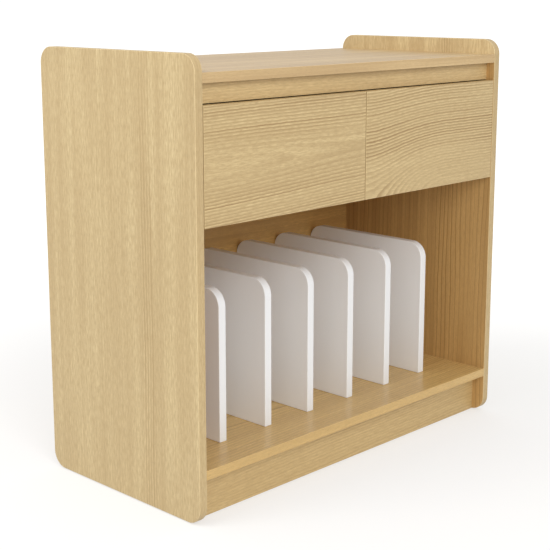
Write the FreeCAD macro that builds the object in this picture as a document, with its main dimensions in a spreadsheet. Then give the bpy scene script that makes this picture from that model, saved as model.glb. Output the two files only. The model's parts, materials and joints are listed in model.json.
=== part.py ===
"""Low oak cabinet with two handleless drawers over a bay of upright dividers.

Every board, runner and fitting is its own solid. Millimetres. +X is right, +Z is up, the front faces -Y,
and the origin is at the middle of the footprint on the floor.
"""
import FreeCAD, Part
import os
import re
import Sketcher
from FreeCAD import Placement, Rotation, Vector

# Driving sizes: name, value, what it is.
SIZES = [
    ("width", 900, "overall width across both side panels"),
    ("depth", 440, "overall depth of the side panels"),
    ("height", 850, "overall height, glides included"),
    ("board", 18, "thickness of the veneered boards"),
    ("corner_round", 32, "radius of the four corners of a side panel"),
    ("edge_ease", 1.0, "rounding of the lipped edges"),
    ("top_drop", 32, "how far the top lies below the side panels' upper edges"),
    ("rail_height", 37, "height of the rail in the shadow recess"),
    ("front_play", 2, "gap between the drawer fronts and the rail and deck behind them"),
    ("plinth_height", 84, "height of the plinth board"),
    ("plinth_setback", 30, "how far the plinth stands behind the front edges"),
    ("back_board", 8, "thickness of the back panel"),
    ("back_inset", 10, "how far the back panel lies inside the rear edges"),
    ("back_groove", 8, "depth of the grooves that hold the back panel"),
    ("groove_play", 0.1, "gap between a panel and the wall of its groove"),
    ("groove_slack", 1.0, "gap between a panel's edge and the bottom of its groove"),
    ("notch_play", 0.2, "gap behind the rail in the partition's notch"),
    ("notch_drop", 12, "drop of the notch below the rail, so the gap over the fronts stays dark"),
    ("front_height", 213.5, "height of a drawer front"),
    ("front_gap_top", 1.5, "gap between the rail and the drawer fronts"),
    ("front_gap_side", 1.5, "gap between a drawer front and its side panel"),
    ("front_gap_middle", 2.0, "gap between the two drawer fronts"),
    ("front_lip", 20, "how far the drawer fronts hang below the deck, for the fingers"),
    ("divider_board", 18, "thickness of a divider"),
    ("divider_height", 300, "height of a divider"),
    ("divider_setback", 87, "how far the dividers stand behind the front edges"),
    ("divider_round", 35, "radius of a divider's upper corners"),
    ("divider_ease", 1.5, "rounding of a divider's edges"),
    ("box_board", 12, "thickness of the drawer box boards"),
    ("box_clear", 54, "room between a drawer box and the back panel"),
    ("box_headroom", 16, "gap between a drawer box and the rail above it"),
    ("box_lift", 12, "gap between the deck and a drawer box"),
    ("box_ease", 0.8, "rounding of a drawer box's upper edges"),
    ("floor_board", 6, "thickness of a drawer's bottom panel"),
    ("floor_groove", 6, "depth of the grooves that hold a drawer's bottom panel"),
    ("floor_lift", 10, "height of a drawer's bottom panel above the box's lower edge"),
    ("runner_thick", 12.7, "thickness of a closed runner"),
    ("runner_tall", 45, "height of the cabinet member"),
    ("runner_start", 4, "gap between a drawer front and its runners' front ends"),
    ("runner_level", 55, "height of the runners' middle above the box's lower edge"),
    ("steel", 1.2, "sheet thickness of the runner members"),
    ("head_clear", 0.4, "gap between the cabinet member's screw heads and the outer cage"),
    ("tip_clear", 0.2, "gap between the middle member's flanges and the drawer member's web"),
    ("flange_step", 0.8, "how much shorter the cabinet member's flanges are than the middle member's"),
    ("race_lip", 1.0, "height of the lips that keep the balls in their races"),
    ("ball", 3.8, "diameter of a ball"),
    ("ball_play", 0.15, "gap between a ball and its race, each side"),
    ("cage_sheet", 0.6, "sheet thickness of a ball cage"),
    ("cage_gap", 0.6, "gap between a cage and the web behind it"),
    ("cage_margin", 25, "how much shorter a ball cage is than half its runner"),
    ("cage_overlap", 2.0, "how far a cage reaches past the middle of its balls"),
    ("dowel", 8, "diameter of a carcass dowel"),
    ("dowel_long", 32, "length of a carcass dowel"),
    ("dowel_seat", 10.5, "depth of a carcass dowel in the board's face"),
    ("small_dowel", 6, "diameter of a drawer box dowel"),
    ("small_dowel_long", 24, "length of a drawer box dowel"),
    ("small_dowel_seat", 8, "depth of a drawer box dowel in the side board"),
    ("dowel_chamfer", 1.0, "chamfer at a dowel's ends"),
    ("fit_play", 0.05, "radial gap round a dowel, screw or pin in its hole"),
    ("end_play", 0.5, "how much deeper a hole is than what it holds"),
    ("cam", 15, "diameter of a cam housing"),
    ("cam_roof", 1.1, "wall of a cam housing above its bolt's head"),
    ("cam_reach", 24, "distance from a board's end to the middle of its cam"),
    ("cam_slot", 2.0, "width of the driver slot in a cam"),
    ("cam_slot_deep", 2.0, "depth of the driver slot in a cam"),
    ("bolt", 6, "diameter of a cam bolt's shank"),
    ("bolt_thread", 5, "diameter of a cam bolt's thread"),
    ("bolt_thread_long", 10.5, "length of a cam bolt's thread"),
    ("bolt_head", 6.8, "diameter of a cam bolt's head"),
    ("bolt_head_long", 4, "length of a cam bolt's head"),
    ("bolt_bore", 8, "bore in the board's end for a cam bolt"),
    ("screw", 4, "diameter of the wood screws"),
    ("screw_head", 8, "diameter of a wood screw's head"),
    ("screw_head_tall", 2.4, "height of a wood screw's head"),
    ("screw_tip", 3, "length of a screw's point"),
    ("cam_inset_front", 60, "distance from the front edges to the front cams"),
    ("cam_inset_rear", 70, "distance from the rear edges to the rear cams"),
    ("dowel_inset_front", 100, "distance from the front edges to the front dowels"),
    ("dowel_inset_rear", 110, "distance from the rear edges to the rear dowels"),
    ("glide_inset", 55, "distance from a side panel's ends to its glides"),
    ("divider_dowel_inset", 60, "distance from a divider's ends to its dowels"),
    ("runner_screw_inset", 40, "distance from a runner's ends to its outer screws"),
    ("front_screw_inset", 70, "distance from a drawer box's sides to the front's screws"),
    ("back_screw_inset", 50, "distance from the partition's ends to its back screws"),
    ("bumper_inset", 30, "distance from a drawer front's ends to its bumpers"),
    ("back_screw_long", 25, "length of a back panel screw under its head"),
    ("front_screw_long", 23, "length of a drawer front screw under its head"),
    ("screw_wall", 1.0, "wood left between the runner screws that meet in the partition, each side"),
    ("runner_screw_head", 7, "diameter of a runner screw's head"),
    ("runner_screw_head_tall", 1.4, "height of a runner screw's head"),
    ("glide", 14, "diameter of a floor glide"),
    ("glide_lift", 2, "height of a floor glide below the side panel"),
    ("glide_pin", 4, "diameter of a floor glide's pin"),
    ("glide_pin_long", 15, "length of a floor glide's pin"),
    ("glide_ease", 0.8, "rounding of a floor glide's rim"),
    ("bumper", 9, "diameter of a drawer bumper"),
    ("bumper_tall", 1.8, "height of a drawer bumper"),
]
DIVIDERS = 6
BALLS_PER_RACE = 5

# Places that follow from the driving sizes. Each formula may use sizes and other places.
PLACES = {
    "inner_half": "width / 2 - board",
    "front_face": "-depth / 2",
    "rear_face": "depth / 2",
    "back_outer": "depth / 2 - back_inset",
    "back_inner": "back_outer - back_board",
    "groove_front": "back_inner - groove_play",
    "groove_rear": "back_outer + groove_play",
    "shelf_low": "glide_lift + plinth_height",
    "shelf_mid": "shelf_low + board / 2",
    "shelf_top": "shelf_low + board",
    "top_face": "height - top_drop",
    "top_low": "top_face - board",
    "top_mid": "top_face - board / 2",
    "rail_low": "top_low - rail_height",
    "rail_front": "front_face + board + front_play",
    "rail_rear": "rail_front + board",
    "front_top": "rail_low - front_gap_top",
    "front_low": "front_top - front_height",
    "deck_low": "front_low + front_lip",
    "deck_mid": "deck_low + board / 2",
    "deck_top": "deck_low + board",
    "plinth_front": "front_face + plinth_setback",
    "divider_front": "front_face + divider_setback",
    "divider_top": "shelf_top + divider_height",
    "divider_pitch": "2 * inner_half / divider_bays",
    "box_front": "front_face + board",
    "box_rear": "back_inner - box_clear",
    "box_low": "deck_top + box_lift",
    "box_top": "rail_low - box_headroom",
    "box_height": "box_top - box_low",
    "floor_low": "box_low + floor_lift",
    "floor_top": "floor_low + floor_board",
    "runner_front": "box_front + runner_start",
    "runner_long": "box_rear - box_front",
    "runner_mid": "box_low + runner_level",
    "runner_half": "runner_tall / 2",
    "outer_race": "runner_half - steel",
    "race_room": "ball + 2 * ball_play",
    "middle_half": "outer_race - race_room",
    "outer_ball_level": "outer_race - race_room / 2",
    "middle_inside": "middle_half - steel",
    "inner_ball_level": "middle_inside - race_room / 2",
    "inner_race": "middle_inside - race_room",
    "outer_cage_web": "steel + runner_screw_head_tall + head_clear",
    "middle_start": "outer_cage_web + cage_sheet + cage_gap",
    "inner_cage_web": "middle_start + steel + cage_gap",
    "inner_start": "inner_cage_web + cage_sheet + cage_gap",
    "middle_reach": "runner_thick - steel - tip_clear",
    "outer_reach": "middle_reach - flange_step",
    "outer_ball_across": "(middle_start + outer_reach - steel) / 2",
    "inner_ball_across": "(inner_start + middle_reach) / 2",
    "cage_long": "runner_long / 2 - cage_margin",
    "cage_start": "(runner_long - cage_long) / 2",
    "ball_pitch": f"cage_long / {BALLS_PER_RACE}",
    "runner_screw_long": "steel + board / 2 - screw_wall",
    "divider_bays": f"{DIVIDERS + 1}",
    "cam_front": "front_face + cam_inset_front",
    "cam_rear": "rear_face - cam_inset_rear",
    "cam_tall": "board / 2 + bolt_head / 2 + cam_roof",
    "dowel_front": "front_face + dowel_inset_front",
    "dowel_rear": "rear_face - dowel_inset_rear",
}
NEAR = 0.01

AXES = "xyz"
PLANES = {"x": "YZ_Plane", "y": "XZ_Plane", "z": "XY_Plane"}
IN_PLANE = {"x": (1, 2), "y": (0, 2), "z": (0, 1)}
NORMAL = {"x": 1, "y": -1, "z": 1}
FACING = {
    "+x": Rotation(),
    "-x": Rotation(Vector(0, 0, 1), 180),
    "+y": Rotation(Vector(0, 0, 1), 90),
    "-y": Rotation(Vector(0, 0, 1), -90),
    "+z": Rotation(Vector(0, 1, 0), -90),
    "-z": Rotation(Vector(0, 1, 0), 90),
}

doc = FreeCAD.newDocument("drawer_cabinet")
sheet = doc.addObject("Spreadsheet::Sheet", "Sizes")
for row, (name, size, meaning) in enumerate(SIZES, 1):
    sheet.set(f"A{row}", meaning)
    sheet.set(f"B{row}", str(size))
    sheet.setAlias(f"B{row}", name)
doc.recompute()

size_names = {name for name, size, meaning in SIZES}
origins = {}
subparts = []


# ---------------------------------------------------------------- expressions

def cells(text):
    """The text as a sheet expression: sizes become cells, and places become their formulas."""
    def swap(match):
        word = match.group(0)
        if word in size_names:
            return "Sizes." + word
        if word in PLACES:
            return "(" + cells(PLACES[word]) + ")"
        raise ValueError("unknown size " + word)
    return re.sub(r"[a-z_]+", swap, text)


def value(text):
    return float(sheet.evalExpression(cells(text)))


def bind(thing, setting, text):
    thing.setExpression(setting, cells(text))


def less(text, other):
    return f"({text}) - ({other})"


# ---------------------------------------------------------------- features

def new_body(label, origin):
    """An empty body whose own origin stands at a place in the cabinet."""
    body = doc.addObject("PartDesign::Body", label)
    body.Label = label
    for axis, text in zip(AXES, origin):
        bind(body, "Placement.Base." + axis, text)
    origins[body.Name] = origin
    doc.recompute()
    return body


def local(body, axis, text):
    """A place along one axis, measured from the body's own origin."""
    return less(text, origins[body.Name][AXES.index(axis)])


def new_sketch(body, axis, at):
    """A sketch across an axis, at a place along it."""
    sketch = body.newObject("Sketcher::SketchObject", body.Name + "_sketch")
    plane = next(part for part in body.Origin.OriginFeatures if part.Role == PLANES[axis])
    sketch.AttachmentSupport = [(plane, "")]
    sketch.MapMode = "FlatFace"
    bind(sketch, "AttachmentOffset.Base.z", f"{NORMAL[axis]} * ({local(body, axis, at)})")
    return sketch


def hold_point(sketch, curve, end, place):
    """Holds a point of a sketch at a place given by two expressions."""
    for kind, text in zip(("DistanceX", "DistanceY"), place):
        held = sketch.addConstraint(Sketcher.Constraint(kind, -1, 1, curve, end, value(text)))
        sketch.setExpression(f"Constraints[{held}]", cells(text))


def in_sketch(body, axis, places):
    """Pairs of places across an axis, turned into the sketch's own coordinates."""
    first, second = (AXES[index] for index in IN_PLANE[axis])
    return [(local(body, first, one), local(body, second, two)) for one, two in places]


def draw_outline(sketch, corners):
    """A closed outline of straight lines through the corners."""
    points = [Vector(value(one), value(two), 0) for one, two in corners]
    for start, end in zip(points, points[1:] + points[:1]):
        sketch.addGeometry(Part.LineSegment(start, end))
    for curve in range(len(corners)):
        sketch.addConstraint(Sketcher.Constraint("Coincident", curve, 2, (curve + 1) % len(corners), 1))
    for curve, corner in enumerate(corners):
        hold_point(sketch, curve, 1, corner)


def draw_circles(sketch, centres, diameter):
    """Equal circles at the centres."""
    for curve, centre in enumerate(centres):
        middle = Vector(value(centre[0]), value(centre[1]), 0)
        sketch.addGeometry(Part.Circle(middle, Vector(0, 0, 1), value(diameter) / 2))
        hold_point(sketch, curve, 3, centre)
        if curve:
            sketch.addConstraint(Sketcher.Constraint("Equal", 0, curve))
    held = sketch.addConstraint(Sketcher.Constraint("Diameter", 0, value(diameter)))
    sketch.setExpression(f"Constraints[{held}]", cells(diameter))


def add_pad(body, sketch, axis, length):
    """Thickens a sketch along the positive axis."""
    pad = body.newObject("PartDesign::Pad", body.Name + "_pad")
    pad.Profile = sketch
    pad.Reversed = NORMAL[axis] < 0
    bind(pad, "Length", length)
    doc.recompute()


def add_pocket(body, sketch, axis, toward, length):
    """Cuts a sketch into the body along an axis, and checks that it cut something."""
    before = body.Shape.Volume
    pocket = body.newObject("PartDesign::Pocket", body.Name + "_pocket")
    pocket.Profile = sketch
    pocket.Reversed = NORMAL[axis] == toward
    bind(pocket, "Length", length)
    doc.recompute()
    if body.Shape.Volume > before - NEAR:
        raise RuntimeError("a pocket cut nothing in " + body.Label)


def drill(body, axis, toward, at, centres, diameter, deep):
    """Round holes that start at a place along the axis and go toward + or -."""
    sketch = new_sketch(body, axis, at)
    draw_circles(sketch, in_sketch(body, axis, centres), diameter)
    add_pocket(body, sketch, axis, toward, deep)


def cut_box(body, axis, toward, at, low, high, deep):
    """A rectangular recess between two corners, given across the axis."""
    sketch = new_sketch(body, axis, at)
    corners = [(low[0], low[1]), (high[0], low[1]), (high[0], high[1]), (low[0], high[1])]
    draw_outline(sketch, in_sketch(body, axis, corners))
    add_pocket(body, sketch, axis, toward, deep)


def round_edges(body, chosen, radius):
    """Rounds the edges whose box, in the cabinet's frame, the test chooses."""
    base = body.Tip
    picked = []
    for number, edge in enumerate(base.Shape.Edges, 1):
        box = edge.BoundBox
        box.move(body.Placement.Base)
        if chosen(box):
            picked.append(f"Edge{number}")
    fillet = body.newObject("PartDesign::Fillet", body.Name + "_round")
    fillet.Base = (base, picked)
    bind(fillet, "Radius", radius)
    doc.recompute()


def reach(box, axis):
    return getattr(box, axis.upper() + "Min"), getattr(box, axis.upper() + "Max")


def flat_at(box, axis, *places):
    """True where an edge lies wholly at one of the places along an axis."""
    low, high = reach(box, axis)
    return any(abs(low - place) < NEAR and abs(high - place) < NEAR for place in places)


def runs_along(box, axis):
    return all(reach(box, other)[1] - reach(box, other)[0] < NEAR for other in AXES if other != axis)


# ---------------------------------------------------------------- whole pieces

def keep(piece):
    subparts.append(piece)
    return piece


def make_board(label, axis, low, high):
    """A flat board between two corners, sketched across its thickness and padded along it."""
    body = new_body(label, low)
    thick = AXES.index(axis)
    first, second = IN_PLANE[axis]
    corners = [
        (low[first], low[second]),
        (high[first], low[second]),
        (high[first], high[second]),
        (low[first], high[second]),
    ]
    sketch = new_sketch(body, axis, low[thick])
    draw_outline(sketch, in_sketch(body, axis, corners))
    add_pad(body, sketch, axis, less(high[thick], low[thick]))
    return keep(body)


def make_turned(label, profile):
    """A round piece turned about its own X axis. The profile is (along, radius) pairs."""
    body = new_body(label, ("0", "0", "0"))
    sketch = new_sketch(body, "y", "0")
    draw_outline(sketch, profile)
    turned = body.newObject("PartDesign::Revolution", label + "_turned")
    turned.Profile = sketch
    turned.ReferenceAxis = (sketch, ["H_Axis"])
    turned.Angle = 360
    doc.recompute()
    return body


def make_group(label, places):
    """Identical pieces as one node. Each place is (master, facing, x, y, z)."""
    links = []
    for number, (master, facing, *place) in enumerate(places, 1):
        link = doc.addObject("App::Link", f"{label}_{number}")
        link.LinkedObject = master
        link.Placement = Placement(Vector(), FACING[facing])
        for axis, text in zip(AXES, place):
            bind(link, "Placement.Base." + axis, text)
        links.append(link)
    group = doc.addObject("Part::Compound", label)
    group.Label = label
    group.Links = links
    doc.recompute()
    return keep(group)


def ease_long_edges(body, axis, **places):
    """Rounds the edges that run along an axis at the given places."""
    limits = {other: [value(text) for text in texts] for other, texts in places.items()}
    round_edges(
        body,
        lambda box: runs_along(box, axis) and all(flat_at(box, other, *at) for other, at in limits.items()),
        "edge_ease",
    )


# ---------------------------------------------------------------- where the fittings sit

BOARD_LEVELS = ("top_mid", "deck_mid", "shelf_mid")
CAM_ROWS = ("cam_front", "cam_rear")
DOWEL_ROWS = ("dowel_front", "dowel_rear")
SIDES = {"left": -1, "right": 1}
DOWEL_BORE = "dowel + 2 * fit_play"
DOWEL_BORE_DEEP = "dowel_seat + end_play"
DOWEL_REST_DEEP = "dowel_long - dowel_seat + end_play"
SCREW_BORE = "screw + 2 * fit_play"
RUNNER_SCREW_DEEP = "runner_screw_long - steel + end_play"
BACK_SCREW_DEEP = "back_screw_long - back_board + end_play"

rail_dowels = [("rail_front + board / 2", "rail_low + rail_height / 2")]
plinth_levels = ("glide_lift + plinth_height / 4", "glide_lift + plinth_height * 3 / 4")
plinth_dowels = [("plinth_front + board / 2", level) for level in plinth_levels]
rear_rail_dowels = [("back_outer - board / 2", level) for level in plinth_levels]
board_dowels = [(row, level) for level in BOARD_LEVELS for row in DOWEL_ROWS]
side_dowels = board_dowels + rail_dowels + plinth_dowels + rear_rail_dowels
side_cams = [(row, level) for level in BOARD_LEVELS for row in CAM_ROWS]

runner_screw_rows = (
    "runner_front + runner_screw_inset",
    "runner_front + runner_long / 2",
    "runner_front + runner_long - runner_screw_inset",
)
runner_screws = [(row, "runner_mid") for row in runner_screw_rows]
glide_rows = ("front_face + glide_inset", "rear_face - glide_inset")

divider_middles = [f"-inner_half + {number} * divider_pitch" for number in range(1, DIVIDERS + 1)]
divider_dowel_rows = ("divider_front + divider_dowel_inset", "back_inner - divider_dowel_inset")
divider_screw_level = "shelf_top + divider_height / 2"

shelf_screw_columns = [f"{step} * inner_half / 5" for step in (-4, -2, 0, 2, 4)]
deck_screw_columns = [f"{step} * inner_half / 5" for step in (-4, -2, 2, 4)]
partition_screw_levels = ("deck_top + back_screw_inset", "top_low - back_screw_inset")
partition_dowel_rows = ("dowel_front", "dowel_rear")

back_screw_places = [(column, "shelf_mid") for column in shelf_screw_columns]
back_screw_places += [(column, "deck_mid") for column in deck_screw_columns]
back_screw_places += [("0", level) for level in partition_screw_levels]
back_screw_places += [(column, divider_screw_level) for column in divider_middles]


# ---------------------------------------------------------------- carcass

def make_side_panel(side):
    """A tall side with four round corners, a groove for the back and the holes for its fittings."""
    hand = SIDES[side]
    inner = f"{hand} * inner_half"
    outer = f"{hand} * width / 2"
    low_x, high_x = (outer, inner) if hand < 0 else (inner, outer)
    body = make_board(
        f"{side}_side_panel", "x",
        (low_x, "front_face", "glide_lift"),
        (high_x, "rear_face", "height"),
    )
    ends = [value(text) for text in ("front_face", "rear_face")]
    levels = [value(text) for text in ("glide_lift", "height")]
    round_edges(
        body,
        lambda box: runs_along(box, "x") and flat_at(box, "y", *ends) and flat_at(box, "z", *levels),
        "corner_round",
    )
    faces = [value(text) for text in (low_x, high_x)]
    round_edges(body, lambda box: flat_at(box, "x", *faces), "edge_ease")
    cut_box(
        body, "x", hand, inner,
        ("groove_front", "shelf_low - groove_play"),
        ("groove_rear", "top_low + back_groove"),
        "back_groove",
    )
    drill(body, "x", hand, inner, side_cams, "bolt_thread + 2 * fit_play", "bolt_thread_long + end_play")
    drill(body, "x", hand, inner, side_dowels, DOWEL_BORE, DOWEL_BORE_DEEP)
    drill(body, "x", hand, inner, runner_screws, SCREW_BORE, RUNNER_SCREW_DEEP)
    middle = f"{hand} * (inner_half + board / 2)"
    pins = [(middle, row) for row in glide_rows]
    drill(body, "z", 1, "glide_lift", pins, "glide_pin + 2 * fit_play", "glide_pin_long + end_play")


def fit_board_ends(body, low_z):
    """Cam housings, bolt bores and dowel holes at both ends of a horizontal board."""
    middle = f"{low_z} + board / 2"
    columns = [f"{hand} * (inner_half - cam_reach)" for hand in SIDES.values()]
    seats = [(column, row) for column in columns for row in CAM_ROWS]
    drill(body, "z", 1, low_z, seats, "cam + 2 * fit_play", "cam_tall + end_play")
    for hand in SIDES.values():
        end = f"{hand} * inner_half"
        bores = [(row, middle) for row in CAM_ROWS]
        drill(body, "x", -hand, end, bores, "bolt_bore", "cam_reach")
        holes = [(row, middle) for row in DOWEL_ROWS]
        drill(body, "x", -hand, end, holes, DOWEL_BORE, DOWEL_REST_DEEP)


def make_top_panel():
    body = make_board(
        "top_panel", "z",
        ("-inner_half", "front_face", "top_low"),
        ("inner_half", "rear_face", "top_face"),
    )
    ease_long_edges(body, "x", y=("front_face", "rear_face"))
    fit_board_ends(body, "top_low")
    cut_box(
        body, "z", 1, "top_low",
        ("-inner_half", "groove_front"), ("inner_half", "groove_rear"),
        "back_groove",
    )
    holes = [("0", row) for row in partition_dowel_rows]
    drill(body, "z", 1, "top_low", holes, DOWEL_BORE, DOWEL_BORE_DEEP)


def make_front_rail():
    body = make_board(
        "front_rail", "y",
        ("-inner_half", "rail_front", "rail_low"),
        ("inner_half", "rail_rear", "top_low"),
    )
    ease_long_edges(body, "x", z=("rail_low",))
    drill_rail_ends(body, rail_dowels)


def drill_rail_ends(body, centres):
    for hand in SIDES.values():
        drill(body, "x", -hand, f"{hand} * inner_half", centres, DOWEL_BORE, DOWEL_REST_DEEP)


def make_drawer_deck():
    body = make_board(
        "drawer_deck", "z",
        ("-inner_half", "rail_front", "deck_low"),
        ("inner_half", "back_inner", "deck_top"),
    )
    ease_long_edges(body, "x", y=("rail_front",))
    fit_board_ends(body, "deck_low")
    holes = [("0", row) for row in partition_dowel_rows]
    drill(body, "z", -1, "deck_top", holes, DOWEL_BORE, DOWEL_BORE_DEEP)
    rear = [(column, "deck_mid") for column in deck_screw_columns]
    drill(body, "y", -1, "back_inner", rear, SCREW_BORE, BACK_SCREW_DEEP)


def make_drawer_partition():
    """The upright between the two drawers, notched round the front rail."""
    body = make_board(
        "drawer_partition", "x",
        ("-board / 2", "rail_front", "deck_top"),
        ("board / 2", "back_inner", "top_low"),
    )
    cut_box(
        body, "x", 1, "-board / 2",
        ("rail_front", "rail_low - notch_drop"), ("rail_rear + notch_play", "top_low"),
        "board",
    )
    holes = [("0", row) for row in partition_dowel_rows]
    drill(body, "z", 1, "deck_top", holes, DOWEL_BORE, DOWEL_REST_DEEP)
    drill(body, "z", -1, "top_low", holes, DOWEL_BORE, DOWEL_REST_DEEP)
    rear = [("0", level) for level in partition_screw_levels]
    drill(body, "y", -1, "back_inner", rear, SCREW_BORE, BACK_SCREW_DEEP)
    drill(body, "x", 1, "-board / 2", runner_screws, SCREW_BORE, RUNNER_SCREW_DEEP)
    drill(body, "x", -1, "board / 2", runner_screws, SCREW_BORE, RUNNER_SCREW_DEEP)


def make_bottom_shelf():
    body = make_board(
        "bottom_shelf", "z",
        ("-inner_half", "front_face", "shelf_low"),
        ("inner_half", "back_inner", "shelf_top"),
    )
    ease_long_edges(body, "x", y=("front_face",))
    fit_board_ends(body, "shelf_low")
    seats = [(column, row) for column in divider_middles for row in divider_dowel_rows]
    drill(body, "z", -1, "shelf_top", seats, DOWEL_BORE, DOWEL_BORE_DEEP)
    rear = [(column, "shelf_mid") for column in shelf_screw_columns]
    drill(body, "y", -1, "back_inner", rear, SCREW_BORE, BACK_SCREW_DEEP)


def make_plinth_boards():
    front = make_board(
        "plinth_board", "y",
        ("-inner_half", "plinth_front", "glide_lift"),
        ("inner_half", "plinth_front + board", "shelf_low"),
    )
    ease_long_edges(front, "x", z=("glide_lift",))
    drill_rail_ends(front, plinth_dowels)
    rear = make_board(
        "rear_plinth_rail", "y",
        ("-inner_half", "back_outer - board", "glide_lift"),
        ("inner_half", "back_outer", "shelf_low"),
    )
    ease_long_edges(rear, "x", z=("glide_lift",))
    drill_rail_ends(rear, rear_rail_dowels)


def make_back_panel():
    """A thin panel in grooves on three edges, standing on the rear plinth rail."""
    body = make_board(
        "back_panel", "y",
        ("-inner_half - back_groove + groove_slack", "back_inner", "shelf_low"),
        ("inner_half + back_groove - groove_slack", "back_outer", "top_low + back_groove - groove_slack"),
    )
    drill(body, "y", -1, "back_outer", back_screw_places, SCREW_BORE, "back_board")


def make_divider(number, middle):
    """A white upright with round upper corners, dowelled to the shelf."""
    low = (f"{middle} - divider_board / 2", "divider_front", "shelf_top")
    high = (f"{middle} + divider_board / 2", "back_inner", "divider_top")
    body = make_board(f"divider_{number}", "x", low, high)
    ends = [value(text) for text in ("divider_front", "back_inner")]
    crown = value("divider_top")
    round_edges(
        body,
        lambda box: runs_along(box, "x") and flat_at(box, "y", *ends) and flat_at(box, "z", crown),
        "divider_round",
    )
    faces = [value(text) for text in (low[0], high[0])]
    base = value("shelf_top")
    round_edges(body, lambda box: flat_at(box, "x", *faces) and not flat_at(box, "z", base), "divider_ease")
    holes = [(middle, row) for row in divider_dowel_rows]
    drill(body, "z", 1, "shelf_top", holes, DOWEL_BORE, DOWEL_REST_DEEP)
    drill(body, "y", -1, "back_inner", [(middle, divider_screw_level)], SCREW_BORE, BACK_SCREW_DEEP)


# ---------------------------------------------------------------- drawers

def bay_walls(side):
    """The two faces that a drawer's runners are screwed to, lower x first."""
    if side == "left":
        return "-inner_half", "-board / 2"
    return "board / 2", "inner_half"


def front_span(side):
    if side == "left":
        return "-inner_half + front_gap_side", "-front_gap_middle / 2"
    return "front_gap_middle / 2", "inner_half - front_gap_side"


def box_span(side):
    low, high = bay_walls(side)
    return f"({low}) + runner_thick", f"({high}) - runner_thick"


def corner_levels():
    """Heights of the drawer box's dowels and front screws, clear of the bottom panel's groove."""
    return ("box_low + box_height / 3", "box_low + box_height * 4 / 5")


def front_screw_places(side):
    low, high = box_span(side)
    columns = (f"({low}) + front_screw_inset", f"({high}) - front_screw_inset")
    return [(column, level) for column in columns for level in corner_levels()]


def bumper_places(side):
    low, high = front_span(side)
    return [(f"({low}) + bumper_inset", "deck_mid"), (f"({high}) - bumper_inset", "deck_mid")]


def make_drawer_front(side):
    low, high = front_span(side)
    body = make_board(
        f"{side}_drawer_front", "y",
        (low, "front_face", "front_low"),
        (high, "box_front", "front_top"),
    )
    round_edges(body, lambda box: True, "edge_ease")
    holes = front_screw_places(side)
    drill(body, "y", -1, "box_front", holes, SCREW_BORE, "front_screw_long - box_board + end_play")


def ease_box_top(body, axis):
    crown = value("box_top")
    round_edges(body, lambda box: runs_along(box, axis) and flat_at(box, "z", crown), "box_ease")


def make_drawer_sides(side):
    low, high = box_span(side)
    span = {"left": (low, f"{low} + box_board"), "right": (f"{high} - box_board", high)}
    for hand_name, (start, end) in span.items():
        hand = SIDES[hand_name]
        body = make_board(
            f"{side}_drawer_{hand_name}_side", "x",
            (start, "box_front", "box_low"),
            (end, "box_rear", "box_top"),
        )
        ease_box_top(body, "y")
        inside, outside = (end, start) if hand < 0 else (start, end)
        groove = ("box_front", "floor_low - groove_play"), ("box_rear", "floor_top + groove_play")
        cut_box(body, "x", hand, inside, *groove, "floor_groove")
        rows = ("box_front + box_board / 2", "box_rear - box_board / 2")
        holes = [(row, level) for row in rows for level in corner_levels()]
        bore = "small_dowel + 2 * fit_play"
        drill(body, "x", hand, inside, holes, bore, "small_dowel_seat + end_play")
        drill(body, "x", -hand, outside, runner_screws, SCREW_BORE, RUNNER_SCREW_DEEP)


def make_drawer_ends(side):
    """The board behind the front and the board at the back, between the two sides."""
    low, high = box_span(side)
    inner_low, inner_high = f"({low}) + box_board", f"({high}) - box_board"
    spans = {
        "inner_front": ("box_front", "box_front + box_board", 1),
        "back": ("box_rear - box_board", "box_rear", -1),
    }
    for name, (start, end, inward) in spans.items():
        body = make_board(
            f"{side}_drawer_{name}", "y",
            (inner_low, start, "box_low"),
            (inner_high, end, "box_top"),
        )
        ease_box_top(body, "x")
        inside = end if inward > 0 else start
        groove = (inner_low, "floor_low - groove_play"), (inner_high, "floor_top + groove_play")
        cut_box(body, "y", -inward, inside, *groove, "floor_groove")
        holes = [(f"({start}) + box_board / 2", level) for level in corner_levels()]
        bore = "small_dowel + 2 * fit_play"
        deep = "small_dowel_long - small_dowel_seat + end_play"
        drill(body, "x", 1, inner_low, holes, bore, deep)
        drill(body, "x", -1, inner_high, holes, bore, deep)
        if name == "inner_front":
            drill(body, "y", 1, start, front_screw_places(side), SCREW_BORE, "box_board")


def make_drawer_bottom(side):
    low, high = box_span(side)
    seat = "(box_board - floor_groove + groove_slack)"
    make_board(
        f"{side}_drawer_bottom", "z",
        (f"({low}) + {seat}", f"box_front + {seat}", "floor_low"),
        (f"({high}) - {seat}", f"box_rear - {seat}", "floor_top"),
    )


# ---------------------------------------------------------------- runners

def make_channel(label, wall, hand, profile, start, long):
    """A member of one section along Y. The section's x is counted from the wall, away from it."""
    body = new_body(label, (wall, start, "runner_mid"))
    sketch = new_sketch(body, "y", start)
    section = [(f"({wall}) + {hand} * ({across})", f"runner_mid + {up}") for across, up in profile]
    draw_outline(sketch, in_sketch(body, "y", section))
    add_pad(body, sketch, "y", long)
    return body


def both_halves(upper):
    """A section drawn once for its upper half and mirrored below the middle."""
    lower = [(across, f"-({up})") for across, up in upper]
    return [(across, f"({up})") for across, up in upper] + lower[::-1]


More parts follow.
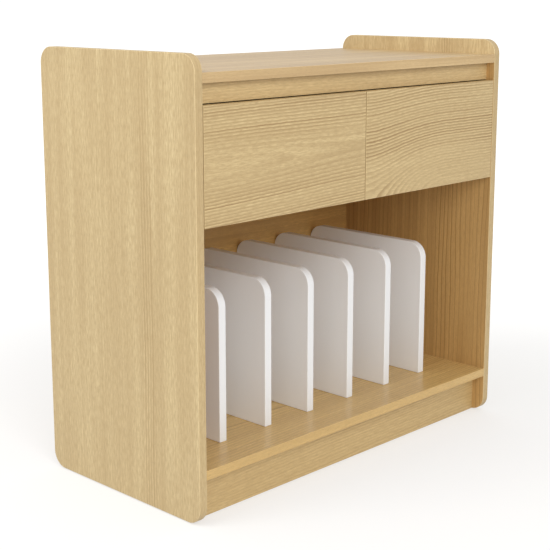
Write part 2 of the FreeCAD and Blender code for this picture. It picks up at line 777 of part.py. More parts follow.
CABINET_MEMBER = both_halves([
    ("0", "runner_half"),
    ("outer_reach", "runner_half"),
    ("outer_reach", "outer_race - race_lip"),
    ("outer_reach - steel", "outer_race - race_lip"),
    ("outer_reach - steel", "outer_race"),
    ("steel", "outer_race"),
])
MIDDLE_MEMBER = both_halves([
    ("middle_start", "middle_half"),
    ("middle_reach - steel", "middle_half"),
    ("middle_reach - steel", "middle_half + race_lip"),
    ("middle_reach", "middle_half + race_lip"),
    ("middle_reach", "middle_inside"),
    ("middle_start + steel", "middle_inside"),
])
DRAWER_MEMBER = both_halves([
    ("runner_thick", "inner_race"),
    ("inner_start", "inner_race"),
    ("inner_start", "inner_race - steel"),
    ("runner_thick - steel", "inner_race - steel"),
])


def cage_section(web, across, level):
    """The section of a ball cage: a thin web, with a flange through the middle of each row of balls."""
    return both_halves([
        (web, f"{level} + cage_sheet / 2"),
        (f"{across} + cage_overlap", f"{level} + cage_sheet / 2"),
        (f"{across} + cage_overlap", f"{level} - cage_sheet / 2"),
        (f"{web} + cage_sheet", f"{level} - cage_sheet / 2"),
    ])


CAGES = {
    "outer": ("outer_cage_web", "outer_ball_across", "outer_ball_level"),
    "inner": ("inner_cage_web", "inner_ball_across", "inner_ball_level"),
}


def make_cage(label, wall, hand, web, across, level):
    """A cage with the balls it holds, in an upper and a lower row."""
    start = "runner_front + cage_start"
    section = cage_section(web, across, level)
    parts = [make_channel(label + "_sheet", wall, hand, section, start, "cage_long")]
    for row, sign in (("upper", 1), ("lower", -1)):
        for number in range(BALLS_PER_RACE):
            ball = doc.addObject("Part::Sphere", f"{label}_{row}_ball_{number + 1}")
            bind(ball, "Radius", "ball / 2")
            bind(ball, "Placement.Base.x", f"({wall}) + {hand} * {across}")
            along = f"{start} + ball_pitch / 2 + {number} * ball_pitch"
            bind(ball, "Placement.Base.y", along)
            bind(ball, "Placement.Base.z", f"runner_mid + {sign} * {level}")
            parts.append(ball)
    cage = doc.addObject("Part::MultiFuse", label)
    cage.Shapes = parts
    doc.recompute()
    return cage


def make_runners(side):
    """The two telescopic runners of one drawer: three members each, with two ball cages."""
    low, high = bay_walls(side)
    cages = {kind: [] for kind in CAGES}
    for name, wall, hand in (("left", low, 1), ("right", high, -1)):
        stem = f"{side}_drawer_{name}_runner"
        place = ("runner_front", "runner_long")
        fixed = make_channel(stem + "_cabinet_member", wall, hand, CABINET_MEMBER, *place)
        drill(fixed, "x", hand, wall, runner_screws, SCREW_BORE, "steel")
        keep(fixed)
        keep(make_channel(stem + "_middle_member", wall, hand, MIDDLE_MEMBER, *place))
        sliding = make_channel(stem + "_drawer_member", wall, hand, DRAWER_MEMBER, *place)
        drill(sliding, "x", -hand, f"({wall}) + {hand} * runner_thick", runner_screws, SCREW_BORE, "steel")
        keep(sliding)
        for kind, (web, across, level) in CAGES.items():
            cages[kind].append(make_cage(f"{stem}_{kind}_cage", wall, hand, web, across, level))
    for kind, pair in cages.items():
        group = doc.addObject("Part::Compound", f"{side}_drawer_{kind}_ball_cages")
        group.Label = f"{side}_drawer_{kind}_ball_cages"
        group.Links = pair
        keep(group)
    doc.recompute()


# ---------------------------------------------------------------- fittings

def screw_profile(long, head, head_tall):
    """A round-headed screw, seated at its origin and pointing along +X."""
    return [
        (f"-{head_tall}", "0"),
        (f"-{head_tall}", f"{head} * 0.28"),
        (f"-{head_tall} * 0.45", f"{head} / 2"),
        ("0", f"{head} / 2"),
        ("0", "screw / 2"),
        (f"{long} - screw_tip", "screw / 2"),
        (long, "0"),
    ]


def dowel_profile(thick, long):
    return [
        ("0", "0"),
        ("0", f"{thick} / 2 - dowel_chamfer"),
        ("dowel_chamfer", f"{thick} / 2"),
        (f"{long} - dowel_chamfer", f"{thick} / 2"),
        (long, f"{thick} / 2 - dowel_chamfer"),
        (long, "0"),
    ]


BOLT_PROFILE = [
    ("-bolt_thread_long", "0"),
    ("-bolt_thread_long", "bolt_thread / 2"),
    ("0", "bolt_thread / 2"),
    ("0", "bolt / 2"),
    ("cam_reach - bolt_head_long / 2", "bolt / 2"),
    ("cam_reach - bolt_head_long / 2", "bolt_head / 2"),
    ("cam_reach + bolt_head_long / 2", "bolt_head / 2"),
    ("cam_reach + bolt_head_long / 2", "0"),
]
GLIDE_PROFILE = [
    ("0", "0"),
    ("0", "glide / 2 - glide_ease"),
    ("glide_ease", "glide / 2"),
    ("glide_lift", "glide / 2"),
    ("glide_lift", "glide_pin / 2"),
    ("glide_lift + glide_pin_long - glide_ease", "glide_pin / 2"),
    ("glide_lift + glide_pin_long", "glide_pin / 2 - glide_ease"),
    ("glide_lift + glide_pin_long", "0"),
]
BUMPER_PROFILE = [
    ("0", "0"),
    ("0", "bumper / 2"),
    ("bumper_tall / 2", "bumper / 2"),
    ("bumper_tall", "bumper / 2 - bumper_tall / 2"),
    ("bumper_tall", "0"),
]


def make_cam():
    """A round cam housing with the bore for its bolt's head and a driver slot underneath."""
    body = new_body("cam", ("0", "0", "0"))
    sketch = new_sketch(body, "z", "0")
    draw_circles(sketch, [("0", "0")], "cam")
    add_pad(body, sketch, "z", "cam_tall")
    bore = "bolt_head + 4 * fit_play"
    drill(body, "x", 1, "-cam / 2", [("0", "board / 2")], bore, "cam / 2 + bolt_head_long / 2 + end_play")
    low, high = ("-cam / 3", "-cam_slot / 2"), ("cam / 3", "cam_slot / 2")
    cut_box(body, "z", 1, "0", low, high, "cam_slot_deep")
    return body


def make_carcass_fittings():
    dowel_stick = make_turned("dowel_stick", dowel_profile("dowel", "dowel_long"))
    bolt_turned = make_turned("bolt_turned", BOLT_PROFILE)
    cam = make_cam()
    dowels, cams, bolts = [], [], []
    for hand, facing in ((-1, "+x"), (1, "-x")):
        end = f"{hand} * (inner_half + dowel_seat)"
        dowels += [(dowel_stick, facing, end, row, level) for row, level in side_dowels]
        bolts += [(bolt_turned, facing, f"{hand} * inner_half", row, level) for row, level in side_cams]
        seat = f"{hand} * (inner_half - cam_reach)"
        cams += [(cam, facing, seat, row, f"{level} - board / 2") for row, level in side_cams]
    for row in partition_dowel_rows:
        dowels.append((dowel_stick, "+z", "0", row, "deck_top - dowel_seat"))
        dowels.append((dowel_stick, "-z", "0", row, "top_low + dowel_seat"))
    make_group("carcass_dowels", dowels)
    make_group("cam_housings", cams)
    make_group("cam_bolts", bolts)
    seats = [(column, row) for column in divider_middles for row in divider_dowel_rows]
    make_group(
        "divider_dowels",
        [(dowel_stick, "+z", column, row, "shelf_top - dowel_seat") for column, row in seats],
    )
    screw = make_turned("back_screw", screw_profile("back_screw_long", "screw_head", "screw_head_tall"))
    make_group(
        "back_panel_screws",
        [(screw, "-y", column, "back_outer", level) for column, level in back_screw_places],
    )
    glide = make_turned("glide_turned", GLIDE_PROFILE)
    middles = [f"{hand} * (inner_half + board / 2)" for hand in SIDES.values()]
    make_group(
        "floor_glides",
        [(glide, "+z", middle, row, "0") for middle in middles for row in glide_rows],
    )


def make_runner_fittings():
    """Screws through the fixed members into the carcass, and through the sliding ones into the drawers."""
    profile = screw_profile("runner_screw_long", "runner_screw_head", "runner_screw_head_tall")
    screw = make_turned("runner_screw", profile)
    fixed = []
    for side in SIDES:
        low, high = bay_walls(side)
        sliding = []
        for wall, hand, into_wall, into_box in ((low, 1, "-x", "+x"), (high, -1, "+x", "-x")):
            for row, level in runner_screws:
                fixed.append((screw, into_wall, f"({wall}) + {hand} * steel", row, level))
                seat = f"({wall}) + {hand} * (runner_thick - steel)"
                sliding.append((screw, into_box, seat, row, level))
        make_group(f"{side}_drawer_runner_screws", sliding)
    make_group("cabinet_runner_screws", fixed)


def make_drawer_fittings():
    small_stick = make_turned("small_dowel_stick", dowel_profile("small_dowel", "small_dowel_long"))
    screw = make_turned("front_screw", screw_profile("front_screw_long", "screw_head", "screw_head_tall"))
    pad = make_turned("bumper_pad", BUMPER_PROFILE)
    for side in SIDES:
        low, high = box_span(side)
        rows = ("box_front + box_board / 2", "box_rear - box_board / 2")
        ends = (
            ("+x", f"({low}) + box_board - small_dowel_seat"),
            ("-x", f"({high}) - box_board + small_dowel_seat"),
        )
        sticks = [
            (small_stick, facing, end, row, level)
            for facing, end in ends for row in rows for level in corner_levels()
        ]
        make_group(f"{side}_drawer_box_dowels", sticks)
        seats = front_screw_places(side)
        make_group(
            f"{side}_drawer_front_screws",
            [(screw, "-y", column, "box_front + box_board", level) for column, level in seats],
        )
        make_group(
            f"{side}_drawer_bumpers",
            [(pad, "+y", column, "box_front", level) for column, level in bumper_places(side)],
        )


# ---------------------------------------------------------------- the cabinet

def make_cabinet():
    for side in SIDES:
        make_side_panel(side)
    make_top_panel()
    make_front_rail()
    make_drawer_deck()
    make_drawer_partition()
    make_bottom_shelf()
    make_plinth_boards()
    make_back_panel()
    for number, middle in enumerate(divider_middles, 1):
        make_divider(number, middle)
    for side in SIDES:
        make_drawer_front(side)
        make_drawer_sides(side)
        make_drawer_ends(side)
        make_drawer_bottom(side)
        make_runners(side)
    make_carcass_fittings()
    make_runner_fittings()
    make_drawer_fittings()


def check_cabinet():
    """Stops the script if any object failed or any piece has no sound shape."""
    doc.recompute()
    for thing in doc.Objects:
        if {"Invalid", "Error"} & set(thing.State):
            raise RuntimeError(thing.Label + " failed")
    for piece in subparts:
        if piece.Shape.isNull() or not piece.Shape.isValid():
            raise RuntimeError(piece.Label + " has no sound shape")


make_cabinet()
check_cabinet()
os.makedirs("parts", exist_ok=True)
for piece in subparts:
    piece.Shape.exportStep(f"parts/{piece.Label}.step")
print(len(subparts), "pieces written")
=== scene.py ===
# %% [markdown]
# # A book storage cabinet in light oak
# The cabinet has two veneered sides with rounded corners, a top set between them, a recessed rail,
# two drawers that hang a finger's width below their deck, and an open bay with six white dividers
# on a shelf above a plinth. The frame that is loaded first holds every solid in its true place.
# Each visible board is modelled again here, on the box that the frame gives for it, so nothing has
# to be measured twice. The fittings keep the frame's own shapes where those are right.

# %% Load the frame
import json
from math import atan2, pi, radians

import bmesh
import bpy
from mathutils import Matrix, Vector

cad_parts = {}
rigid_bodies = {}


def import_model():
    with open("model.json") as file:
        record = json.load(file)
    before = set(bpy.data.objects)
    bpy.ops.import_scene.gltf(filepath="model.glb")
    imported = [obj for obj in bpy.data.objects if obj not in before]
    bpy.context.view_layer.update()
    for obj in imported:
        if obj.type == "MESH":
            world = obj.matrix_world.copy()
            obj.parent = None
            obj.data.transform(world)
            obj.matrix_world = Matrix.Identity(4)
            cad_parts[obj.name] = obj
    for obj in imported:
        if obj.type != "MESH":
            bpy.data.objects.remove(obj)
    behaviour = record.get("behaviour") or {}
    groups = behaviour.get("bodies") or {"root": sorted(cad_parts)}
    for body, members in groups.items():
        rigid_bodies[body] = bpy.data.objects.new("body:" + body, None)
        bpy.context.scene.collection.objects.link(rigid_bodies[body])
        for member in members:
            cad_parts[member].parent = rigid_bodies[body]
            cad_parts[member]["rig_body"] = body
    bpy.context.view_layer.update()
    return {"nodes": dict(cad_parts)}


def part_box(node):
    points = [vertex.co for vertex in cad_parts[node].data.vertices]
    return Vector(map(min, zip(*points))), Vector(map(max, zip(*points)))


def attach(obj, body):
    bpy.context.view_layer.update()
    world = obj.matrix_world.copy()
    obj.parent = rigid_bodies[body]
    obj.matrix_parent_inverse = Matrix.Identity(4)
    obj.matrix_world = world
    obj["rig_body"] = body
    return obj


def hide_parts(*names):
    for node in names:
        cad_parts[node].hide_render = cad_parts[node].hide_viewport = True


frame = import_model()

# %% [markdown]
# ## The camera
# A piece of furniture this size is shown best from a little above its top, turned about 45
# degrees, with a long lens so that upright edges stay nearly upright. The camera could be tilted
# further and shifted less, or the other way round. This shift is small, so that the same camera
# still holds the whole cabinet when it is moved round to the sides and the back.

# %% The camera
LENS, SHIFT = 80.75, -0.065
EYE_PLACE = (-1.851, -1.770, 0.952)
LOOKS_DOWN, TURNED_BY = 11.35, -45.82
eye = bpy.data.cameras.new("eye")
eye.sensor_width = 36
eye.lens = LENS
eye.shift_y = SHIFT
camera = bpy.data.objects.new("camera", eye)
camera.location = EYE_PLACE
camera.rotation_euler = (radians(90 - LOOKS_DOWN), 0, radians(TURNED_BY))
bpy.context.scene.collection.objects.link(camera)
bpy.context.scene.camera = camera
print("camera: lens", eye.lens, "mm, distance", round(camera.location.length, 2), "m")

# %% [markdown]
# ## Light and floor
# The room is a white studio: soft light from everywhere, a large lamp high on the left behind the
# cabinet, and a second one in front of it. A single sun would cut hard shadows into the bays. The
# floor gives off a little light of its own, so that it stays nearly white and only the softest
# shadow shows on it. That light grows with the distance, so the far floor melts into the white.

# %% Light and floor
SKY_SEEN, SKY_LIT = 1.05, 0.72
FLOOR_LIT, FLOOR_NEAR, FLOOR_FAR = 0.30, 0.54, 0.81
FADE_START, FADE_END = 0.6, 2.2
scene = bpy.context.scene
scene.view_settings.view_transform = "Standard"
world = bpy.data.worlds.new("studio")
scene.world = world
world.use_nodes = True
sky = world.node_tree.nodes["Background"]
sky.inputs["Color"].default_value = (1, 1, 1, 1)


def seen_or_lit(tree, socket, seen, lit):
    """The socket is seen as one strength and lights with another. Gives back the seen one's socket."""
    path = tree.nodes.new("ShaderNodeLightPath")
    blend = tree.nodes.new("ShaderNodeMapRange")
    for place, value in zip(blend.inputs[3:5], (lit, seen)):
        place.default_value = value
    tree.links.new(path.outputs["Is Camera Ray"], blend.inputs["Value"])
    tree.links.new(blend.outputs["Result"], socket)
    return blend.inputs["To Max"]


seen_or_lit(world.node_tree, sky.inputs["Strength"], SKY_SEEN, SKY_LIT)


def soft_lamp(name, place, aim, size, power):
    """A square white area lamp at place, turned towards aim."""
    lamp = bpy.data.lights.new(name, "AREA")
    lamp.size, lamp.energy = size, power
    made = bpy.data.objects.new(name, lamp)
    made.location = place
    made.rotation_euler = (Vector(aim) - Vector(place)).to_track_quat("-Z", "Y").to_euler()
    scene.collection.objects.link(made)


soft_lamp("lamp_left_high", (-2.8, 0.6, 3.0), (0, 0, 0.4), size=1.8, power=44)
soft_lamp("lamp_front", (-2.2, -4.2, 2.7), (0, 0, 0.3), size=2.6, power=118)

bpy.ops.object.select_all(action="DESELECT")
bpy.ops.mesh.primitive_plane_add(size=40, location=(0, 0, 0))
floor = bpy.context.active_object
floor.name = "floor"

pale = bpy.data.materials.new("studio_floor")
pale.use_nodes = True
pale_shader = pale.node_tree.nodes["Principled BSDF"]
pale_shader.inputs["Base Color"].default_value = (0.45, 0.445, 0.435, 1)
pale_shader.inputs["Roughness"].default_value = 0.9
pale_shader.inputs["Specular IOR Level"].default_value = 0.0
pale_shader.inputs["Emission Color"].default_value = (1, 1, 1, 1)
seen = seen_or_lit(pale.node_tree, pale_shader.inputs["Emission Strength"], FLOOR_NEAR, FLOOR_LIT)
spot = pale.node_tree.nodes.new("ShaderNodeTexCoord")
radius = pale.node_tree.nodes.new("ShaderNodeVectorMath")
radius.operation = "LENGTH"
pale.node_tree.links.new(spot.outputs["Object"], radius.inputs[0])
fade = pale.node_tree.nodes.new("ShaderNodeMapRange")
fade.interpolation_type = "SMOOTHSTEP"
for place, value in zip(fade.inputs[1:5], (FADE_START, FADE_END, FLOOR_NEAR, FLOOR_FAR)):
    place.default_value = value
pale.node_tree.links.new(radius.outputs["Value"], fade.inputs["Value"])
pale.node_tree.links.new(fade.outputs["Result"], seen)
floor.data.materials.append(pale)

# %% [markdown]
# ## Small tools for node trees
# Every pattern below is a chain of sums and noises. Written out socket by socket it would be long,
# so small helpers place a sum, a product, a noise, a smooth step or a mix of two colours, and give
# back its output. Two more make an empty node group and place a group in a material.

# %% Helpers for node trees


def feed(tree, socket, value):
    """Links value to the socket if it is an output, or else sets it there."""
    if isinstance(value, bpy.types.NodeSocket):
        tree.links.new(value, socket)
    else:
        socket.default_value = value


def calc(tree, operation, *terms, clamp=False):
    """One Math node, and its output."""
    node = tree.nodes.new("ShaderNodeMath")
    node.operation, node.use_clamp = operation, clamp
    for socket, value in zip(node.inputs, terms):
        feed(tree, socket, value)
    return node.outputs[0]


def times(tree, first, second):
    """The product of two values."""
    return calc(tree, "MULTIPLY", first, second)


def noise(tree, x, y, z, detail=2.0, rough=0.5):
    """Noise whose three coordinates are stretched separately, from 0 to 1 about 0.5."""
    place = tree.nodes.new("ShaderNodeCombineXYZ")
    for socket, value in zip(place.inputs, (x, y, z)):
        feed(tree, socket, value)
    node = tree.nodes.new("ShaderNodeTexNoise")
    node.inputs["Scale"].default_value = 1.0
    node.inputs["Detail"].default_value = detail
    node.inputs["Roughness"].default_value = rough
    tree.links.new(place.outputs[0], node.inputs["Vector"])
    return node.outputs["Fac"]


def grained(tree, place, seed, rate, detail=2.0, rough=0.5):
    """Noise on a sheet. rate says how often it changes in a metre, along the grain and across it."""
    x, y = (times(tree, way, often) for way, often in zip(place, rate))
    return noise(tree, x, y, seed, detail, rough)


def step(tree, value, low, high, to_low=0.0, to_high=1.0):
    """A smooth step: to_low up to low, to_high from high on."""
    node = tree.nodes.new("ShaderNodeMapRange")
    node.interpolation_type = "SMOOTHSTEP"
    for socket, given in zip(node.inputs, (value, low, high, to_low, to_high)):
        feed(tree, socket, given)
    return node.outputs["Result"]


def tint(tree, share, first, second):
    """Mixes two colours by share, and gives the mixed colour."""
    node = tree.nodes.new("ShaderNodeMix")
    node.data_type = "RGBA"
    for label, value in (("Factor_Float", share), ("A_Color", first), ("B_Color", second)):
        socket = next(s for s in node.inputs if s.identifier == label)
        if isinstance(value, tuple) and len(value) == 3:
            value = (*value, 1)
        feed(tree, socket, value)
    return next(s for s in node.outputs if s.identifier == "Result_Color")


def new_group(name, wanted, given):
    """An empty shader node group: wanted is {input: default}, given the names of the outputs."""
    group = bpy.data.node_groups.new(name, "ShaderNodeTree")
    for label, default in wanted.items():
        socket = group.interface.new_socket(label, in_out="INPUT", socket_type="NodeSocketFloat")
        socket.default_value = default
    for label in given:
        group.interface.new_socket(label, in_out="OUTPUT", socket_type="NodeSocketFloat")
    entry = group.nodes.new("NodeGroupInput").outputs
    leave = group.nodes.new("NodeGroupOutput").inputs
    return group, entry, leave


def use_group(tree, group, **values):
    """Places the group in a material's tree. An underscore in a name stands for a space."""
    node = tree.nodes.new("ShaderNodeGroup")
    node.node_tree = group
    for label, value in values.items():
        feed(tree, node.inputs[label.replace("_", " ")], value)
    return node.outputs


print("helpers for node trees are ready")

# %% [markdown]
# ## Growth rings
# A board is a flat cut through a trunk, so its figure is the shape that the rings make where the
# cut crosses them. A wave texture gives even stripes and never looks like a cut trunk. Here each
# point's distance from the heart of the trunk is worked out, with the heart running a little
# askew and lying deeper at one end than at the other. Each ring ends in a dark line of one width,
# so wide rings are mostly pale, and the lines look broad over the heart and crowd together away
# from it. A sheet may draw its lines fainter near the heart, or stronger in one band. A heart far
# off gives the straight lines of a quarter cut.

# %% Growth rings
LINE_WIDTH, PALE_WIDTH = 0.0042, 0.0019
LEAST_PALE, UNEVEN, FAINTEST = 0.25, 0.8, 0.22
rings, entry, leave = new_group(
    "growth rings",
    {"Along": 0, "Across": 0, "Seed": 0, "Heart": 0, "Rise": 0, "Depth Start": 0.03, "Depth End": 0.03,
     "Turn Start": 0, "Turn End": 0.4, "Ring Width": 0.007, "Wander": 0.01, "Jag": 0.001,
     "Band At": 9, "Band Width": 0.02, "Band Gain": 0, "Calm": 0.001},
    ["Lines", "Pale", "Tone"],
)
t, seed, ring_width = rings, entry["Seed"], entry["Ring Width"]
along, across = entry["Along"], entry["Across"]
place = (along, across)

# How far each point lies from the heart
wander = calc(t, "MULTIPLY_ADD", grained(t, place, seed, (1.7, 5.0)), 2, -1)
jag = calc(t, "MULTIPLY_ADD", grained(t, place, seed, (48, 55), 3.0), 2, -1)
heart = calc(t, "MULTIPLY_ADD", entry["Rise"], along, entry["Heart"])
aside = calc(t, "SUBTRACT", across, heart)
aside = calc(t, "MULTIPLY_ADD", wander, entry["Wander"], aside)
depth = step(t, along, entry["Turn Start"], entry["Turn End"], entry["Depth Start"], entry["Depth End"])
reach = calc(t, "SQRT", calc(t, "ADD", times(t, aside, aside), times(t, depth, depth)))
reach = calc(t, "MULTIPLY_ADD", jag, entry["Jag"], reach)

# Which ring that is, and where in the ring
uneven = noise(t, times(t, reach, 30), seed, 4.0)
age = calc(t, "ADD", calc(t, "DIVIDE", reach, ring_width), times(t, uneven, UNEVEN))
phase, year = calc(t, "FRACT", age), calc(t, "FLOOR", age)
line_share = calc(t, "DIVIDE", LINE_WIDTH, ring_width)
start = calc(t, "MAXIMUM", calc(t, "SUBTRACT", 1, line_share), LEAST_PALE)
late = calc(t, "DIVIDE", calc(t, "SUBTRACT", phase, start), calc(t, "SUBTRACT", 1, start))
line = times(t, step(t, late, 0.0, 0.76), step(t, late, 0.84, 1.0, 1.0, 0.0))
early = step(t, times(t, phase, ring_width), 0.0001, PALE_WIDTH, 1.0, 0.0)

# How strongly it is drawn: ring by ring, in patches, near the heart and in the band
white = t.nodes.new("ShaderNodeTexWhiteNoise")
white.noise_dimensions = "1D"
t.links.new(calc(t, "ADD", year, seed), white.inputs["W"])
power = step(t, white.outputs["Value"], 0, 1, 0.5, 1.0)
patch = grained(t, place, calc(t, "ADD", seed, 3), (2.4, 12))
power = times(t, power, step(t, patch, 0.32, 0.62, 0.5, 1.0))
calm = calc(t, "DIVIDE", reach, entry["Calm"])
power = times(t, power, step(t, calm, 0.4, 1.0, FAINTEST, 1.0))
from_band = calc(t, "ABSOLUTE", calc(t, "SUBTRACT", across, entry["Band At"]))
far = calc(t, "DIVIDE", from_band, entry["Band Width"])
gain = calc(t, "MULTIPLY_ADD", step(t, far, 0.6, 1.2, 1.0, 0.0), entry["Band Gain"], 1)
power = times(t, power, gain)

feed(t, leave["Lines"], calc(t, "MULTIPLY", line, power, clamp=True))
feed(t, leave["Pale"], calc(t, "MULTIPLY", early, power, clamp=True))
feed(t, leave["Tone"], grained(t, place, calc(t, "ADD", seed, 11), (1.6, 24)))
print("group", rings.name, "has", len(rings.nodes), "nodes")

# %% [markdown]
# ## Fibres and pores
# Between the rings the wood is full of fine fibres, and its pores show as short dark scratches
# along the grain, a third of a millimetre wide and some millimetres long. They could be painted
# by hand, but noise stretched along the grain gives both at their real size on every board.

# %% Fibres and pores
fibres, entry, leave = new_group(
    "fibres and pores", {"Along": 0, "Across": 0, "Seed": 0}, ["Fibre", "Pores", "Flecks", "Streaks"])
t, seed = fibres, entry["Seed"]
place = (entry["Along"], entry["Across"])
fine = grained(t, place, seed, (10, 480), 3.0, 0.6)
short = grained(t, place, calc(t, "ADD", seed, 5), (130, 1900), 1.0)
spots = grained(t, place, calc(t, "ADD", seed, 9), (60, 420), 1.0)
broad = grained(t, place, calc(t, "ADD", seed, 13), (1.3, 75), 4.0, 0.66)
feed(t, leave["Fibre"], fine)
feed(t, leave["Pores"], step(t, short, 0.56, 0.68))
feed(t, leave["Flecks"], step(t, spots, 0.30, 0.70))
feed(t, leave["Streaks"], step(t, broad, 0.34, 0.66))
print("group", fibres.name, "has", len(fibres.nodes), "nodes")

# %% [markdown]
# ## Painted rim highlights
# Where an edge is eased, its colour is painted a little paler, in patches: a painted highlight
# along the rim. The pieces carry an attribute that is 1 on their eased edges, so the rim doesn't
# have to be found by light.

# %% Painted rim highlights
rims, entry, leave = new_group("painted rim highlights", {"Along": 0, "Rim": 0, "Seed": 0, "Wear": 0.5}, ["Worn"])
t = rims
broken = noise(t, times(t, entry["Along"], 35), 0.5, entry["Seed"], 3.0, 0.6)
# painted highlight: a share of each eased rim, broken in patches by noise along the edge
share = times(t, entry["Rim"], entry["Wear"])
feed(t, leave["Worn"], times(t, share, step(t, broken, 0.35, 0.65, 0.55, 1.0)))
print("group", rims.name, "has", len(rims.nodes), "nodes")

# %% [markdown]
# ## The oak finish
# All the veneer is one species with one clear satin lacquer, but each sheet is cut differently.
# The inner sheets are also a darker copy, painted as the bay's shade, and the shelf a lighter one,
# painted as the light on it.
# One function makes the material, and the figure's numbers are given sheet by sheet, so that the
# sides are calm and upright while the drawer fronts show their rings. The veneer runs along a
# map of its own, in metres, which follows each board and the band glued round its edges.

# %% The oak finish


def grain_place(tree):
    """Along, across, rim, band and seed, as the piece's own map and attribute give them."""
    sheet = tree.nodes.new("ShaderNodeUVMap")
    sheet.uv_map = "grain"
    where = tree.nodes.new("ShaderNodeSeparateXYZ")
    tree.links.new(sheet.outputs[0], where.inputs[0])
    marks = tree.nodes.new("ShaderNodeAttribute")
    marks.attribute_name = "marks"
    split = tree.nodes.new("ShaderNodeSeparateXYZ")
    tree.links.new(marks.outputs["Vector"], split.inputs[0])
    return (*where.outputs[:2], *split.outputs)


def new_material(name):
    """A material with its node tree and its Principled shader."""
    made = bpy.data.materials.new(name)
    made.use_nodes = True
    return made, made.node_tree, made.node_tree.nodes["Principled BSDF"]


def add_bump(tree, shader, height, distance):
    """A relief of that depth in metres, from the height."""
    bump = tree.nodes.new("ShaderNodeBump")
    bump.inputs["Strength"].default_value = 1.0
    bump.inputs["Distance"].default_value = distance
    feed(tree, bump.inputs["Height"], height)
    tree.links.new(bump.outputs[0], shader.inputs["Normal"])


def between(first, second, share):
    """The colour that lies at share on the way from the first to the second."""
    return tuple((1 - share) * a + share * b for a, b in zip(first, second))


def oak(name, light, dark, lines, streaks, flecks, rough=0.42, band_shade=1.0, cloud=0.18, **figure):
    """One sheet of lacquered veneer. light and dark are its colours between and on the rings."""
    made, tree, shader = new_material(name)
    along, across, rim, band, seed = grain_place(tree)
    board = calc(tree, "SUBTRACT", 1, band)
    for label in ("Rise", "Wander"):
        figure[label] = times(tree, board, figure.get(label, 0))
    ring = use_group(tree, rings, Along=along, Across=across, Seed=seed, **figure)
    fibre = use_group(tree, fibres, Along=along, Across=across, Seed=seed)
    rim_highlight = use_group(tree, rims, Along=along, Rim=rim, Seed=seed, Wear=0.35)["Worn"]
    colour = tint(tree, step(tree, ring["Tone"], 0.3, 0.7), light, between(light, dark, cloud))
    drawn = calc(tree, "MULTIPLY_ADD", band, -LESS_ON_BAND * lines, lines)
    pale_share = times(tree, times(tree, ring["Pale"], PALE_SHARE), drawn)
    colour = tint(tree, pale_share, colour, tuple(min(1, 1.16 * c) for c in light))
    colour = tint(tree, calc(tree, "MULTIPLY", ring["Lines"], drawn, clamp=True), colour, dark)
    warm = between(light, dark, 0.65)
    for mask, share in ((fibre["Streaks"], streaks), (fibre["Flecks"], flecks), (fibre["Fibre"], 0.30)):
        colour = tint(tree, times(tree, mask, share), colour, warm)
    colour = tint(tree, times(tree, band, 1 - band_shade), colour, warm)
    colour = tint(tree, times(tree, fibre["Pores"], 0.22), colour, tuple(0.62 * c for c in dark))
    # eased rims are painted paler here: a painted highlight, in patches
    colour = tint(tree, rim_highlight, colour, tuple(min(1, 1.12 * c + 0.03) for c in light))
    tree.links.new(colour, shader.inputs["Base Color"])
    feed(tree, shader.inputs["Roughness"], calc(tree, "MULTIPLY_ADD", fibre["Fibre"], 0.12, rough - 0.06))
    relief = calc(tree, "MULTIPLY_ADD", ring["Lines"], -0.35, times(tree, fibre["Pores"], -1))
    add_bump(tree, shader, relief, VENEER_RELIEF)
    return made


